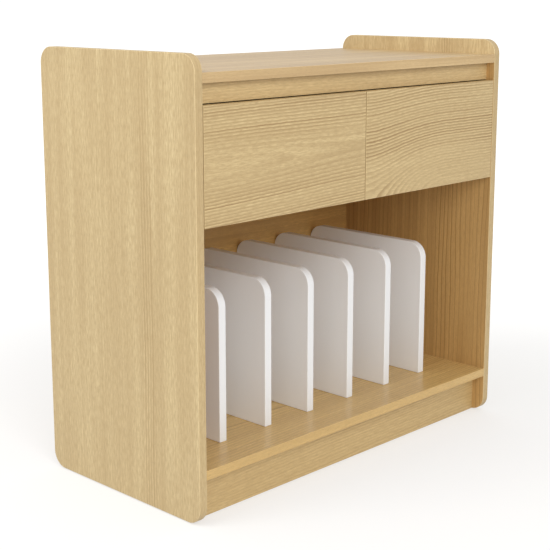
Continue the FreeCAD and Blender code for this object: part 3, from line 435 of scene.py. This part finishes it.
LESS_ON_BAND, PALE_SHARE, VENEER_RELIEF = 0.7, 0.7, 0.00008
PALE, RING = (0.730, 0.567, 0.295), (0.320, 0.180, 0.058)
FRONT_RING = (0.270, 0.145, 0.045)
SIDE_PALE = (0.780, 0.625, 0.345)
TOP_PALE, TOP_RING = (0.845, 0.635, 0.330), (0.300, 0.160, 0.060)
RAIL_PALE, PLINTH_PALE = (0.745, 0.560, 0.280), (0.700, 0.515, 0.242)
# The shelf's colour is lighter and more orange than the other sheets: painted light on its upward face.
SHELF_LIT_PALE, BACK_PALE = (0.835, 0.575, 0.230), (0.880, 0.555, 0.195)
# The next two colours are a darker, warmer copy of the oak with darker rings, painted as the shade inside
# the bay; the back reuses those rings.
SHADED_INNER, INNER_RING = (0.705, 0.450, 0.176), (0.300, 0.145, 0.036)
finish = {
    "side": oak(
        "oak_side", SIDE_PALE, RING, lines=0.66, streaks=0.30, flecks=0.62, band_shade=0.62, cloud=0.32,
        Heart=-0.9, Ring_Width=0.0075, Wander=0.012, Jag=0.0008, Calm=9.0,
        Band_At=0.135, Band_Width=0.017, Band_Gain=6.0),
    "top": oak(
        "oak_top", TOP_PALE, TOP_RING, lines=0.7, streaks=0.75, flecks=0.3, rough=0.36, band_shade=0.8,
        cloud=0.38, Heart=0.20, Rise=-0.02, Depth_Start=0.05, Depth_End=0.04, Turn_End=0.8,
        Ring_Width=0.0125, Wander=0.012, Jag=0.0012),
    "left_front": oak(
        "oak_left_front", PALE, FRONT_RING, lines=1.0, streaks=0.32, flecks=0.52,
        Heart=0.100, Rise=0.028, Depth_Start=0.034, Depth_End=0.044, Turn_End=0.42,
        Ring_Width=0.0052, Wander=0.003, Jag=0.0008, Calm=0.080),
    "right_front": oak(
        "oak_right_front", PALE, FRONT_RING, lines=0.88, streaks=0.15, flecks=0.42,
        Heart=-0.012, Depth_Start=0.088, Depth_End=0.032, Turn_End=0.27,
        Ring_Width=0.0056, Wander=0.004, Jag=0.0014, Calm=0.100,
        Band_At=0.115, Band_Width=0.035, Band_Gain=0.7),
    "rail": oak(
        "oak_rail", RAIL_PALE, RING, lines=0.22, streaks=0.2, flecks=0.40,
        Heart=-0.6, Ring_Width=0.0055, Wander=0.01, Jag=0.0006),
    "plinth": oak(
        "oak_plinth", PLINTH_PALE, RING, lines=0.42, streaks=0.2, flecks=0.40,
        Heart=-0.3, Rise=0.02, Ring_Width=0.0065, Wander=0.02, Jag=0.0010),
    # painted light: the shelf's brighter, more orange oak
    "shelf": oak(
        "oak_shelf_painted_light", SHELF_LIT_PALE, RING, lines=0.55, streaks=0.3, flecks=0.3, rough=0.25, band_shade=0.75,
        Heart=0.15, Rise=0.05, Depth_Start=0.06, Depth_End=0.03, Turn_End=0.8,
        Ring_Width=0.008, Wander=0.012, Jag=0.0008),
    # painted shade: the darker copy of the oak for faces inside the bay
    "inner": oak(
        "oak_inner_painted_shade", SHADED_INNER, INNER_RING, lines=0.75, streaks=0.45, flecks=0.25,
        Heart=-0.7, Ring_Width=0.0115, Wander=0.020, Jag=0.0012,
        Band_At=0.11, Band_Width=0.05, Band_Gain=0.8),
    "back": oak(
        "oak_back", BACK_PALE, INNER_RING, lines=0.5, streaks=0.6, flecks=0.6, cloud=0.45,
        Heart=0.3, Depth_Start=0.1, Depth_End=0.1, Ring_Width=0.009, Wander=0.02, Jag=0.0010),
}
print("oak finishes:", sorted(finish))

# %% [markdown]
# ## White laminate
# The dividers are coated in a smooth white laminate with a faint orange peel, a little cooler on
# its edges. A plain colour with one roughness would look like plastic, so its colour drifts very
# slightly, and the peel is a relief of hundredths of a millimetre.

# %% White laminate
COAT_RELIEF = 0.00002
laminate, tree, shader = new_material("white_laminate_coat")
along, across, rim, band, seed = grain_place(tree)
ripple = grained(tree, (along, across), seed, (420, 420), 2.0)
drift = grained(tree, (along, across), seed, (6, 6), 3.0)
rim_highlight = use_group(tree, rims, Along=along, Rim=rim, Seed=seed, Wear=0.5)["Worn"]
colour = tint(tree, drift, (0.880, 0.862, 0.845), (0.905, 0.888, 0.872))
colour = tint(tree, band, colour, (0.830, 0.833, 0.835))
# eased rims are mixed toward a neutral grey by the painted rim highlight mask
colour = tint(tree, rim_highlight, colour, (0.87, 0.87, 0.87))
tree.links.new(colour, shader.inputs["Base Color"])
feed(tree, shader.inputs["Roughness"], calc(tree, "MULTIPLY_ADD", drift, 0.10, 0.36))
add_bump(tree, shader, ripple, COAT_RELIEF)
print("made", laminate.name)

# %% [markdown]
# ## Birch plywood
# The drawer boxes are birch plywood. Its faces are pale and almost plain, and its layers show on
# every edge as dark and light stripes. The stripes could be modelled as thin boards, but the
# band's map already tells how far each point lies through the thickness, so they are painted.

# %% Birch plywood
PLY_PAIR, PLY_RELIEF = 0.0027, 0.00005
birch, tree, shader = new_material("birch_plywood")
along, across, rim, band, seed = grain_place(tree)
ring = use_group(
    tree, rings, Along=along, Across=across, Seed=seed, Heart=0.09, Depth_Start=0.04, Depth_End=0.08,
    Ring_Width=0.014, Wander=0.03, Jag=0.001)
fibre = use_group(tree, fibres, Along=along, Across=across, Seed=seed)
face = tint(tree, times(tree, ring["Lines"], 0.5), (0.70, 0.56, 0.37), (0.58, 0.42, 0.24))
face = tint(tree, times(tree, fibre["Fibre"], 0.35), face, (0.60, 0.45, 0.27))
layer = calc(tree, "FRACT", calc(tree, "DIVIDE", across, PLY_PAIR))
layer = times(tree, step(tree, layer, 0.44, 0.52), step(tree, layer, 0.92, 1.0, 1.0, 0.0))
plies = tint(tree, layer, (0.66, 0.52, 0.34), (0.40, 0.26, 0.14))
plies = tint(tree, times(tree, fibre["Flecks"], 0.3), plies, (0.45, 0.30, 0.16))
tree.links.new(tint(tree, band, face, plies), shader.inputs["Base Color"])
feed(tree, shader.inputs["Roughness"], calc(tree, "MULTIPLY_ADD", fibre["Fibre"], 0.15, 0.42))
add_bump(tree, shader, times(tree, fibre["Pores"], -1), PLY_RELIEF)
print("made", birch.name)

# %% [markdown]
# ## Fittings
# The runners, screws and cams are plated steel and die-cast zinc, the glides nylon, the bumpers
# rubber and the dowels beech. They are small and keep the frame's shapes, so one function gives
# each of them its two colours, its roughness, and its own marks of drawing, casting or moulding.

# %% Fittings


def object_place(tree):
    """The three object coordinates, in metres."""
    spot = tree.nodes.new("ShaderNodeTexCoord")
    split = tree.nodes.new("ShaderNodeSeparateXYZ")
    tree.links.new(spot.outputs["Object"], split.inputs[0])
    return split.outputs


def fitting(name, first, second, metallic, rough, spread, stretch, relief):
    """A fitting's finish: two colours mixed in smudges, and a relief of noise stretched by stretch."""
    made, tree, shader = new_material(name)
    place = [times(tree, socket, share) for socket, share in zip(object_place(tree), stretch)]
    drawn = noise(tree, *place, detail=3.0, rough=0.6)
    smudge = noise(tree, *[times(tree, socket, 45) for socket in object_place(tree)], detail=3.0)
    tree.links.new(tint(tree, smudge, first, second), shader.inputs["Base Color"])
    shader.inputs["Metallic"].default_value = metallic
    smudged = calc(tree, "MULTIPLY_ADD", smudge, spread, rough - spread)
    feed(tree, shader.inputs["Roughness"], calc(tree, "ADD", times(tree, drawn, spread), smudged))
    add_bump(tree, shader, drawn, relief)
    return made


METAL, NOT_METAL = 1.0, 0.0
fittings = {
    "runner_steel": fitting(
        "plated_runner_steel", (0.62, 0.63, 0.64), (0.52, 0.53, 0.55), METAL, 0.34, 0.10,
        (900, 25, 900), 0.00003),
    "cage_steel": fitting(
        "ball_and_cage_steel", (0.56, 0.56, 0.56), (0.44, 0.44, 0.45), METAL, 0.28, 0.08,
        (700, 60, 700), 0.00002),
    "screw_steel": fitting(
        "plated_screw_steel", (0.64, 0.63, 0.60), (0.50, 0.49, 0.46), METAL, 0.32, 0.10,
        (900, 900, 900), 0.00003),
    "zinc_cam": fitting(
        "cast_zinc", (0.50, 0.51, 0.52), (0.40, 0.41, 0.43), METAL, 0.45, 0.12,
        (1500, 1500, 1500), 0.00006),
    "nylon_glide": fitting(
        "white_nylon", (0.78, 0.78, 0.76), (0.70, 0.70, 0.68), NOT_METAL, 0.48, 0.10,
        (800, 800, 800), 0.00004),
    "soft_bumper": fitting(
        "grey_bumper_rubber", (0.36, 0.36, 0.36), (0.28, 0.28, 0.28), NOT_METAL, 0.55, 0.12,
        (1200, 1200, 1200), 0.00004),
    "beech_dowel": fitting(
        "beech_dowel_wood", (0.60, 0.42, 0.26), (0.50, 0.33, 0.19), NOT_METAL, 0.60, 0.12,
        (90, 1500, 1500), 0.00008),
}
for node in frame["nodes"].values():
    slots = [m.name for m in node.data.materials]
    for place, slot in enumerate(slots):
        if slot in fittings:
            node.data.materials[place] = fittings[slot]
print("fittings:", sorted(fittings))

# %% [markdown]
# ## Tools for boards
# Every board starts as a block on its own box from the frame. Its corners are rounded with a
# bevel on a few chosen edges, and then a Bevel modifier eases all of its sharp edges, as the
# maker's sandpaper does. A Weighted Normal modifier keeps the big faces flat in the light. The
# grain's map is laid last: one sheet on each face, and one band that runs round the edges.

# %% Helpers for boards
X, Y, Z = 0, 1, 2
TOUCH = 0.001
BAND_LEAN, FLAT_LEAN, EDGE_LEAN = 0.6, 0.995, 0.05
BAND_START = 10


def clear():
    """Nothing is selected, and nothing is active."""
    bpy.ops.object.select_all(action="DESELECT")
    bpy.context.view_layer.objects.active = None


def pick(piece):
    """Only this piece is selected, and it is active."""
    clear()
    piece.select_set(True)
    bpy.context.view_layer.objects.active = piece


def apply(piece, kind, **settings):
    """Adds a modifier to the piece and applies it."""
    pick(piece)
    bpy.ops.object.modifier_add(type=kind)
    modifier = piece.modifiers[-1]
    for key, value in settings.items():
        setattr(modifier, key, value)
    bpy.ops.object.modifier_apply(modifier=modifier.name)


def block(name, low, high):
    """A block between two corners, with its place in its mesh."""
    clear()
    bpy.ops.mesh.primitive_cube_add(size=1, location=(low + high) / 2, scale=high - low)
    piece = bpy.context.active_object
    piece.name = name
    bpy.ops.object.transform_apply(location=True, rotation=True, scale=True)
    piece.data.uv_layers[0].name = "grain"
    return piece


def round_corners(piece, chosen, radius, segments):
    """Rounds the edges for which chosen(one end, other end) is true."""
    pick(piece)
    bpy.ops.object.mode_set(mode="EDIT")
    bpy.ops.mesh.select_mode(type="EDGE")
    bpy.ops.mesh.select_all(action="DESELECT")
    mesh = bmesh.from_edit_mesh(piece.data)
    for edge in mesh.edges:
        edge.select_set(chosen(*[v.co for v in edge.verts]))
    bmesh.update_edit_mesh(piece.data)
    bpy.ops.mesh.bevel(offset=radius, segments=segments, profile=0.5, affect="EDGES")
    bpy.ops.object.mode_set(mode="OBJECT")


def ease(piece, width, segments=3):
    """Eases every sharp edge, and keeps the large faces flat in the light."""
    apply(piece, "BEVEL", width=width, segments=segments, limit_method="ANGLE", angle_limit=radians(40))
    bpy.ops.object.shade_smooth_by_angle(angle=radians(50))
    apply(piece, "WEIGHTED_NORMAL", keep_sharp=True)


def run_round(p, q, half_p, half_q, radius):
    """How far (p, q) lies along the outline of a rounded rectangle, from the middle of its low side."""
    flat_p, flat_q, quarter = half_p - radius, half_q - radius, radius * pi / 2
    half_way = 2 * flat_p + 2 * flat_q + 2 * quarter
    if abs(p) > flat_p and abs(q) > flat_q:
        turn = radius * atan2(abs(p) - flat_p, abs(q) - flat_q)
        way = flat_p + turn if q < 0 else half_way - flat_p - turn
    elif abs(q) >= flat_q:
        return p if q < 0 else half_way - p
    else:
        way = flat_p + quarter + q + flat_q
    return way if p > 0 else -way


def lay_grain(piece, grain, radius=0.001, seed=0.0):
    """Writes the veneer's map, in metres, and the marks: 1 on rims, 1 on bands, and the seed.

    A face whose normal leans less than BAND_LEAN to the board's thin way belongs to the band, and
    its points are pulled a hair into the face, so that the last one before the seam isn't past it.
    """
    points = [v.co for v in piece.data.vertices]
    low = Vector(min(p[i] for p in points) for i in range(3))
    high = Vector(max(p[i] for p in points) for i in range(3))
    size, middle = high - low, (low + high) / 2
    thin = min(range(3), key=lambda i: size[i])
    cross = 3 - thin - grain
    piece.data.attributes.new("marks", "FLOAT_VECTOR", "CORNER")
    layer, marks = piece.data.uv_layers["grain"].data, piece.data.attributes["marks"].data
    for face in piece.data.polygons:
        normal = face.normal
        lean = abs(normal[thin])
        banded = lean < BAND_LEAN
        eased = lean > EDGE_LEAN if banded else lean < FLAT_LEAN
        side = 2.0 if normal[thin] < 0 else 0.0
        for corner in face.loop_indices:
            at = piece.data.vertices[piece.data.loops[corner].vertex_index].co
            if banded:
                near = at + (face.center - at) * 0.001 - middle
                u = run_round(near[grain], near[cross], size[grain] / 2, size[cross] / 2, radius)
                v = BAND_START + at[thin] - low[thin]
            else:
                u, v = at[grain] - low[grain], at[cross] - low[cross]
            layer[corner].uv = (u, v)
            marks[corner].vector = (1.0 if eased else 0.0, 1.0 if banded else 0.0, seed + side)


def dress(piece, node, material, grain, radius=0.001, seed=0.0):
    """Gives the piece its grain and finish, and lets it stand for the node, on the node's body."""
    lay_grain(piece, grain, radius, seed)
    piece.data.materials.clear()
    piece.data.materials.append(material)
    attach(piece, frame["nodes"][node]["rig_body"])
    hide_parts(node)
    return piece


print("helpers for boards are ready")

# %% [markdown]
# ## The two sides
# Each side is one tall board that stands on the floor and rises past the top. All four of its
# corners are rounded, and a band of straight-grained veneer runs round its whole edge. A curve
# with thickness would do, but a rounded block keeps the faces flat and the band separate. Below
# the top, the inner face gets a darker, warmer copy of the oak as painted shade of the bay, so
# each side is cut at that height.

# %% The two sides


def runs_along(axis):
    """Chooses the edges that run along one axis."""
    return lambda a, b: abs(a[axis] - b[axis]) > TOUCH


SIDE_CORNER, SIDE_EASE = 0.032, 0.001
top_middle = sum(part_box("top_panel"), Vector()).z / 2
for number, hand in enumerate(("left", "right")):
    side = block(hand + "_side", *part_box(hand + "_side_panel"))
    round_corners(side, runs_along(X), SIDE_CORNER, 14)
    ease(side, SIDE_EASE)
    bpy.ops.object.mode_set(mode="EDIT")
    bpy.ops.mesh.select_all(action="SELECT")
    bpy.ops.mesh.bisect(plane_co=(0, 0, top_middle), plane_no=(0, 0, 1))
    bpy.ops.object.mode_set(mode="OBJECT")
    dress(side, hand + "_side_panel", finish["side"], Z, SIDE_CORNER, seed=number * 5.3)
    # the inner face below the top takes the darker oak, painted as the bay's shade
    side.data.materials.append(finish["inner"])
    inwards = 1 if hand == "left" else -1
    for face in side.data.polygons:
        face.material_index = int(face.normal.x * inwards > 0.9 and face.center.z < top_middle)
    print(side.name, "has", len(side.data.polygons), "faces")

# %% [markdown]
# ## Boards between the sides
# The top, the rail under it, the drawer deck with its partition, the shelf, the two plinth boards
# and the back are square-cut boards. Their edges are eased by well under a millimetre, which
# leaves the fine dark line that is seen where two real boards meet. Three of them are drilled
# from below for the cam locks, and a Boolean modifier cuts each bore with a cylinder. Another one
# notches the partition round the rail, deeper than the rail, so that the thin gap over the drawer
# fronts stays dark right across.

# %% Boards between the sides


def islands(node):
    """The box of each separate solid in a node of the frame."""
    mesh = bmesh.new()
    mesh.from_mesh(frame["nodes"][node].data)
    bmesh.ops.remove_doubles(mesh, verts=mesh.verts, dist=1e-5)
    left, found = set(mesh.verts), []
    while left:
        reached = [left.pop()]
        for v in reached:
            for edge in v.link_edges:
                other = edge.other_vert(v)
                if other in left:
                    left.remove(other)
                    reached.append(other)
        low = Vector(min(v.co[i] for v in reached) for i in range(3))
        high = Vector(max(v.co[i] for v in reached) for i in range(3))
        found.append((low, high))
    mesh.free()
    return sorted(found, key=lambda pair: tuple(round(x, 4) for x in pair[0]))


def cut_away(board, cutter):
    """Cuts the cutter out of the board, and deletes it."""
    apply(board, "BOOLEAN", operation="DIFFERENCE", object=cutter, solver="EXACT")
    bpy.data.objects.remove(cutter)


def drill(board, holes):
    """Cuts an upright bore for each of the solids' boxes, from just under its foot to its top."""
    for low, high in holes:
        clear()
        centre, deep = (low + high) / 2, high.z - low.z
        bpy.ops.mesh.primitive_cylinder_add(
            vertices=40, radius=(high.x - low.x) / 2 + BORE_PLAY, depth=deep + 2 * TOUCH,
            location=(centre.x, centre.y, centre.z - TOUCH))
        cut_away(board, bpy.context.active_object)


BORE_PLAY, NOTCH_DROP, NOTCH_PLAY = 0.0001, 0.012, 0.0002
cams = islands("cam_housings")
plain_boards = [
    ("top_board", "top_panel", X, "top", 0.0006),
    ("rail_board", "front_rail", X, "rail", 0.0005),
    # the deck, the partition and the rear plinth take the darker oak painted as the bay's shade
    ("deck_board", "drawer_deck", X, "inner", 0.0005),
    ("partition_board", "drawer_partition", Y, "inner", 0.0005),
    ("shelf_board", "bottom_shelf", X, "shelf", 0.0008),
    ("plinth_front", "plinth_board", X, "plinth", 0.0006),
    ("plinth_rear", "rear_plinth_rail", X, "inner", 0.0006),
    ("back_board", "back_panel", X, "back", 0.0004),
]
for number, (name, node, grain, sheet, width) in enumerate(plain_boards):
    low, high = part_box(node)
    board = block(name, low, high)
    ease(board, width)
    if node in ("top_panel", "drawer_deck", "bottom_shelf"):
        drill(board, [cam for cam in cams if abs(cam[0].z - low.z) < TOUCH and cam[1].z < high.z])
    if node == "drawer_partition":
        rail_low, rail_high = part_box("front_rail")
        notch_low = rail_low - Vector((0, TOUCH, NOTCH_DROP))
        notch_high = rail_high + Vector((0, NOTCH_PLAY, TOUCH))
        cut_away(board, block("rail_notch", notch_low, notch_high))
    dress(board, node, finish[sheet], grain, 0.0, seed=number * 3.7 + 1)
    print(board.name, [round(x * 1000) for x in high - low], "mm,", len(board.data.polygons), "faces")

# %% [markdown]
# ## The dividers
# Six white boards stand on dowels in the shelf. Their two upper corners are rounded more widely
# than the cabinet's, and their edges are softened to the touch. They are all alike, so one is
# modelled and the others are copies of it, each with a mesh of its own at its own place.

# %% The dividers


def twin(piece, name, shift):
    """A copy of the piece with its own mesh, moved by shift."""
    pick(piece)
    bpy.ops.object.duplicate()
    made = bpy.context.active_object
    made.name = name
    bpy.ops.transform.translate(value=shift)
    bpy.ops.object.transform_apply(location=True, rotation=False, scale=False)
    return made


DIVIDERS, DIVIDER_CORNER, DIVIDER_EASE = 6, 0.035, 0.0015
first_low, first_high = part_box("divider_1")
middle_height = (first_low.z + first_high.z) / 2
pattern = block("divider_pattern", first_low, first_high)
round_corners(pattern, lambda a, b: runs_along(X)(a, b) and a.z > middle_height, DIVIDER_CORNER, 16)
ease(pattern, DIVIDER_EASE, 4)
for number in range(1, DIVIDERS + 1):
    node = f"divider_{number}"
    divider = twin(pattern, f"divider_board_{number}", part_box(node)[0] - first_low)
    dress(divider, node, laminate, Y, 0.0, seed=number * 2.1)
bpy.data.objects.remove(pattern)
print("dividers have", len(divider.data.polygons), "faces each")

# %% [markdown]
# ## The drawer fronts
# The two fronts are cut from different sheets of the same veneer, and their rings run lengthways
# with the heart in the middle of the left one and just under the lower edge of the right one.
# They end a hair below the rail and hang past the deck, so that fingers find their lower edge.
# Two blocks would do, but one is modelled and its twin takes the other sheet, so both are alike.

# %% The drawer fronts
FRONT_EASE = 0.0008
left_low, left_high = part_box("left_drawer_front")
left_front = block("left_front", left_low, left_high)
ease(left_front, FRONT_EASE)
right_front = twin(left_front, "right_front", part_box("right_drawer_front")[0] - left_low)
dress(left_front, "left_drawer_front", finish["left_front"], X, 0.0, seed=21.0)
dress(right_front, "right_drawer_front", finish["right_front"], X, 0.0, seed=33.0)
print("fronts are", [round(x * 1000, 1) for x in left_high - left_low], "mm")

# %% [markdown]
# ## The drawer boxes
# Behind each front is a box of thin birch plywood with a plywood bottom let into its sides. The
# grain runs round the box, and the layers show on every upper edge, which the finish paints from
# the band's map. The edges that a hand meets are rounded more than those of the bottom, which
# could be left square, but would then catch no light at all.

# %% The drawer boxes
HAND_EASE, HIDDEN_EASE = 0.001, 0.0003
box_boards = [("left_side", Y), ("right_side", Y), ("inner_front", X), ("back", X), ("bottom", X)]
for hand in ("left", "right"):
    for number, (part, grain) in enumerate(box_boards):
        node = f"{hand}_drawer_{part}"
        board = block(f"{hand}_box_{part}", *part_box(node))
        ease(board, HIDDEN_EASE if part == "bottom" else HAND_EASE)
        dress(board, node, birch, grain, 0.0, seed=number * 4.3 + len(hand))
print("two boxes of", len(box_boards), "boards")

# %% [markdown]
# ## The wood screws
# Pan-headed screws hold the back panel, and shorter ones hold each drawer front from inside its
# box. A screw is pushed up ring by ring from its point: shank, shoulder, rim and pan. The driver's
# cross is then cut with a Boolean. A lathed curve would do as well, but here each diameter can be
# read off. Nobody lines up the crosses by hand, so every copy is turned by a different amount.

# %% The wood screws
HEAD_TALL, RIM_TALL, POINT_LONG = 0.0024, 0.0011, 0.003
POINT_RADIUS, SHANK_RADIUS = 0.0002, 0.002
PAN = ((0.0006, 0.88), (0.0002, 0.74), (0.0, 0.56))
SLOT_REACH, SLOT_HALF, SLOT_DEEP = 0.0023, 0.0005, 0.0014
TURN = radians(37)


def wood_screw(low, high):
    """One screw in the box from low to high, with its point at low y and its head at high y."""
    clear()
    centre, head_radius = (low + high) / 2, (high.x - low.x) / 2
    shoulder = high.y - HEAD_TALL
    outline = [
        (low.y + POINT_LONG, SHANK_RADIUS), (shoulder, SHANK_RADIUS),
        (shoulder, head_radius), (shoulder + RIM_TALL, head_radius)]
    outline += [(high.y - below, share * head_radius) for below, share in PAN]
    at, radius = low.y, POINT_RADIUS
    bpy.ops.mesh.primitive_circle_add(
        vertices=32, radius=radius, fill_type="NGON",
        location=(centre.x, at, centre.z), rotation=(radians(-90), 0, 0))
    screw = bpy.context.active_object
    bpy.ops.object.transform_apply(location=True, rotation=True, scale=True)
    bpy.ops.object.mode_set(mode="EDIT")
    bpy.ops.mesh.select_all(action="SELECT")
    for new_at, new_radius in outline:
        bpy.ops.mesh.extrude_region_move(TRANSFORM_OT_translate={"value": (0, new_at - at, 0)})
        share = new_radius / radius
        bpy.ops.transform.resize(value=(share, 1, share), center_override=(centre.x, new_at, centre.z))
        at, radius = new_at, new_radius
    bpy.ops.mesh.select_all(action="SELECT")
    bpy.ops.mesh.normals_make_consistent(inside=False)
    bpy.ops.object.mode_set(mode="OBJECT")
    for reach, half in ((SLOT_REACH, SLOT_HALF), (SLOT_HALF, SLOT_REACH)):
        floor_of_slot = Vector((centre.x - reach, high.y - SLOT_DEEP, centre.z - half))
        mouth_of_slot = Vector((centre.x + reach, high.y + SLOT_DEEP, centre.z + half))
        cut_away(screw, block("slot", floor_of_slot, mouth_of_slot))
    pick(screw)
    bpy.ops.object.shade_smooth_by_angle(angle=radians(35))
    return screw


for node in ("back_panel_screws", "left_drawer_front_screws", "right_drawer_front_screws"):
    boxes = islands(node)
    first, first_low = wood_screw(*boxes[0]), boxes[0][0]
    copies = [twin(first, f"{node}_{number}", low - first_low) for number, (low, _) in enumerate(boxes)]
    for number, (copy, (low, high)) in enumerate(zip(copies, boxes)):
        middle = Matrix.Translation((low + high) / 2)
        copy.data.transform(middle @ Matrix.Rotation(number * TURN, 4, "Y") @ middle.inverted())
    bpy.data.objects.remove(first)
    clear()
    for copy in copies:
        copy.select_set(True)
    bpy.context.view_layer.objects.active = copies[0]
    bpy.ops.object.join()
    screws = bpy.context.active_object
    screws.name = "wood_screws_" + node.split("_")[0]
    screws.data.materials.clear()
    screws.data.materials.append(fittings["screw_steel"])
    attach(screws, frame["nodes"][node]["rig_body"])
    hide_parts(node)
    print(screws.name, "is", len(boxes), "screws of", len(screws.data.polygons) // len(boxes), "faces")
